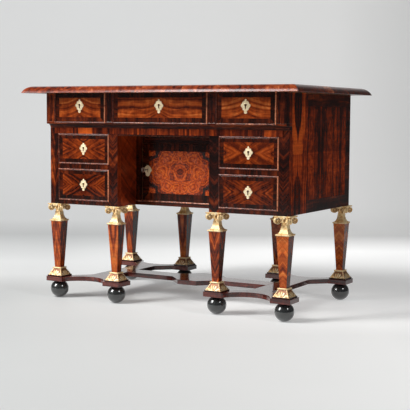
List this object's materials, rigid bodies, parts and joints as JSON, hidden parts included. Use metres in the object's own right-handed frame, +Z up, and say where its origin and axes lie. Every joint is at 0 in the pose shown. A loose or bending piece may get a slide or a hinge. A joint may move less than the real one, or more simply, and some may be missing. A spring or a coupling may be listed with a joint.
{
  "type": "bureau mazarin",
  "caption": "Kneehole writing desk with frieze and pedestal drawers, a recessed cupboard, gilt-mounted tapered legs, shaped stretchers and ball feet.",
  "frame": {"origin": "on the floor, under the middle of the top", "axes": "+Z up, -Y towards the sitter, X across the desk with +X to the right of someone who faces it"},
  "size_m": [1.122, 0.662, 0.794],
  "materials": {
    "rosewood_veneer": "French-polished, high gloss",
    "burr_veneer": "French-polished, high gloss",
    "oak": "plain oiled oak inside",
    "gilt_wood": "water-gilded carving, satin",
    "gilt_brass": "gilded, satin",
    "ebonised_wood": "black polish",
    "iron": "filed, lightly oiled"
  },
  "bodies": {
    "desk": {"top_board": "rosewood_veneer", "top_edge_moulding": "rosewood_veneer", "side_panel_left": "rosewood_veneer", "side_panel_right": "rosewood_veneer", "inner_side_left": "rosewood_veneer", "inner_side_right": "rosewood_veneer", "back_panel": "oak", "frieze_dust_board": "oak", "frieze_partitions": "oak", "bottom_boards": "oak", "knee_hole_ceiling": "oak", "pedestal_stiles": "rosewood_veneer", "front_rails": "rosewood_veneer", "frieze_frame": "rosewood_veneer", "frieze_cove": "rosewood_veneer", "crossbanded_strip": "rosewood_veneer", "opening_beads": "rosewood_veneer", "drawer_runners": "oak", "cupboard_frame": "rosewood_veneer", "hinge_frame_leaves": "gilt_brass", "leg_front_left_outer": "rosewood_veneer", "leg_front_left_inner": "rosewood_veneer", "leg_front_right_inner": "rosewood_veneer", "leg_front_right_outer": "rosewood_veneer", "leg_back_left_outer": "rosewood_veneer", "leg_back_left_inner": "rosewood_veneer", "leg_back_right_inner": "rosewood_veneer", "leg_back_right_outer": "rosewood_veneer", "leg_bases": "gilt_wood", "leg_capitals": "gilt_wood", "ball_feet": "ebonised_wood", "stretcher_left": "rosewood_veneer", "stretcher_right": "rosewood_veneer", "stretcher_link": "rosewood_veneer"},
    "left_frieze_drawer": {"left_frieze_drawer_front": "rosewood_veneer", "left_frieze_drawer_box": "oak", "left_frieze_drawer_lock": "gilt_brass"},
    "left_upper_drawer": {"left_upper_drawer_front": "rosewood_veneer", "left_upper_drawer_box": "oak", "left_upper_drawer_lock": "gilt_brass"},
    "left_lower_drawer": {"left_lower_drawer_front": "rosewood_veneer", "left_lower_drawer_box": "oak", "left_lower_drawer_lock": "gilt_brass"},
    "right_frieze_drawer": {"right_frieze_drawer_front": "rosewood_veneer", "right_frieze_drawer_box": "oak", "right_frieze_drawer_lock": "gilt_brass"},
    "right_upper_drawer": {"right_upper_drawer_front": "rosewood_veneer", "right_upper_drawer_box": "oak", "right_upper_drawer_lock": "gilt_brass"},
    "right_lower_drawer": {"right_lower_drawer_front": "rosewood_veneer", "right_lower_drawer_box": "oak", "right_lower_drawer_lock": "gilt_brass"},
    "centre_frieze_drawer": {"centre_frieze_drawer_front": "rosewood_veneer", "centre_frieze_drawer_box": "oak", "centre_frieze_drawer_lock": "gilt_brass"},
    "cupboard_door": {"door_leaf": "burr_veneer", "door_lock": "gilt_brass", "hinge_door_leaves": "gilt_brass"},
    "door_key": {"door_key": "iron"},
    "door_bolt": {"door_bolt": "iron"}
  },
  "joints": [
    {"name": "left_frieze_drawer_slide", "type": "slide", "parent": "desk", "child": "left_frieze_drawer", "axis": [0, -1, 0], "range_m": [0, 0.4]},
    {"name": "left_upper_drawer_slide", "type": "slide", "parent": "desk", "child": "left_upper_drawer", "axis": [0, -1, 0], "range_m": [0, 0.38]},
    {"name": "left_lower_drawer_slide", "type": "slide", "parent": "desk", "child": "left_lower_drawer", "axis": [0, -1, 0], "range_m": [0, 0.38]},
    {"name": "right_frieze_drawer_slide", "type": "slide", "parent": "desk", "child": "right_frieze_drawer", "axis": [0, -1, 0], "range_m": [0, 0.4]},
    {"name": "right_upper_drawer_slide", "type": "slide", "parent": "desk", "child": "right_upper_drawer", "axis": [0, -1, 0], "range_m": [0, 0.38]},
    {"name": "right_lower_drawer_slide", "type": "slide", "parent": "desk", "child": "right_lower_drawer", "axis": [0, -1, 0], "range_m": [0, 0.38]},
    {"name": "centre_frieze_drawer_slide", "type": "slide", "parent": "desk", "child": "centre_frieze_drawer", "axis": [0, -1, 0], "range_m": [0, 0.4]},
    {"name": "cupboard_door_hinge", "type": "hinge", "parent": "desk", "child": "cupboard_door", "pos_m": [0.1614, -0.1236, 0.482], "axis": [0, 0, 1], "range_deg": [0, 90]},
    {"name": "door_key_turn", "type": "hinge", "parent": "cupboard_door", "child": "door_key", "pos_m": [-0.1388, -0.12, 0.49], "axis": [0, -1, 0], "range_deg": [0, 360]},
    {"name": "door_bolt_slide", "type": "slide", "parent": "cupboard_door", "child": "door_bolt", "axis": [-1, 0, 0], "range_m": [0, 0.009]}
  ],
  "couplings": [
    {"joint": "door_bolt_slide", "follows": "door_key_turn", "m_per_rad": 0.0014324}
  ]
}
